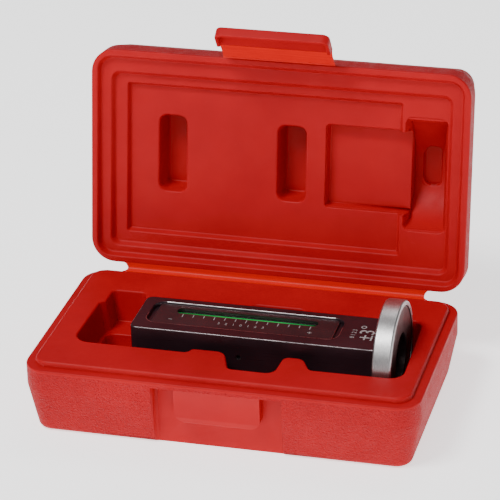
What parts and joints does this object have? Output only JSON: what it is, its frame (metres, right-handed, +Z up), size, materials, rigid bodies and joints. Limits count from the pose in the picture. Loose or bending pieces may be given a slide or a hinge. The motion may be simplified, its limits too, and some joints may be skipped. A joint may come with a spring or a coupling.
{
  "type": "camber caster gauge",
  "caption": "Camber and caster gauge: anodised bar with spirit vials and a magnetic disc, set in a hinged moulded plastic case with a latch flap.",
  "frame": {"origin": "centre of the case's underside", "axes": "+X along the case towards the magnetic disc, +Y to the hinge at the rear, +Z up"},
  "size_m": [0.221, 0.1863, 0.1931],
  "materials": {
    "case_red": "moulded red plastic, fine pebble outside and smooth inside",
    "web_red": "thin flexible red plastic of the same moulding",
    "bar_dark": "dark anodised, satin",
    "plate_dark": "dark anodised plate with pale printed marks",
    "vial_green": "clear green filled tube",
    "bubble_pale": "pale air bubble",
    "plug_dark": "dull black",
    "cup_steel": "turned steel, satin",
    "magnet_grey": "dark sintered face",
    "screw_dark": "black oxide steel",
    "pin_steel": "ground steel"
  },
  "bodies": {
    "base": {"case_base_shell": "case_red", "case_base_tray": "case_red", "hinge_web": "web_red"},
    "lid": {"lid_shell": "case_red", "lid_panel": "case_red", "latch_web": "web_red"},
    "latch": {"latch_flap": "case_red"},
    "gauge": {"gauge_bar": "bar_dark", "camber_plate": "plate_dark", "caster_plate": "plate_dark", "camber_vial": "vial_green", "camber_vial_plugs": "plug_dark", "caster_vial": "vial_green", "caster_vial_plugs": "plug_dark", "magnet_cup": "cup_steel", "ring_magnet": "magnet_grey", "magnet_screw": "screw_dark", "lock_washer": "pin_steel", "dowel_pins": "pin_steel", "trim_screws": "screw_dark"},
    "camber_air": {"camber_bubble": "bubble_pale"},
    "caster_air": {"caster_bubble": "bubble_pale"}
  },
  "joints": [
    {"name": "lid_hinge", "type": "hinge", "parent": "base", "child": "lid", "pos_m": [0, 0.067, 0.04], "axis": [-1, 0, 0], "range_deg": [-98.9, 81.1], "deforming": ["hinge_web"]},
    {"name": "latch_hinge", "type": "hinge", "parent": "lid", "child": "latch", "pos_m": [0, 0.08735, 0.16895], "axis": [-1, 0, 0], "range_deg": [-46.1, 100], "deforming": ["latch_web"]},
    {"name": "gauge_lift", "type": "slide", "parent": "base", "child": "gauge", "axis": [0, 0, 1], "range_m": [0, 0.075]},
    {"name": "camber_bubble_slide", "type": "slide", "parent": "gauge", "child": "camber_air", "axis": [1, 0, 0], "range_m": [-0.035, 0.042], "stiffness_N_per_m": 0.02},
    {"name": "caster_bubble_slide", "type": "slide", "parent": "gauge", "child": "caster_air", "axis": [1, 0, 0], "range_m": [-0.035, 0.042], "stiffness_N_per_m": 0.02}
  ]
}
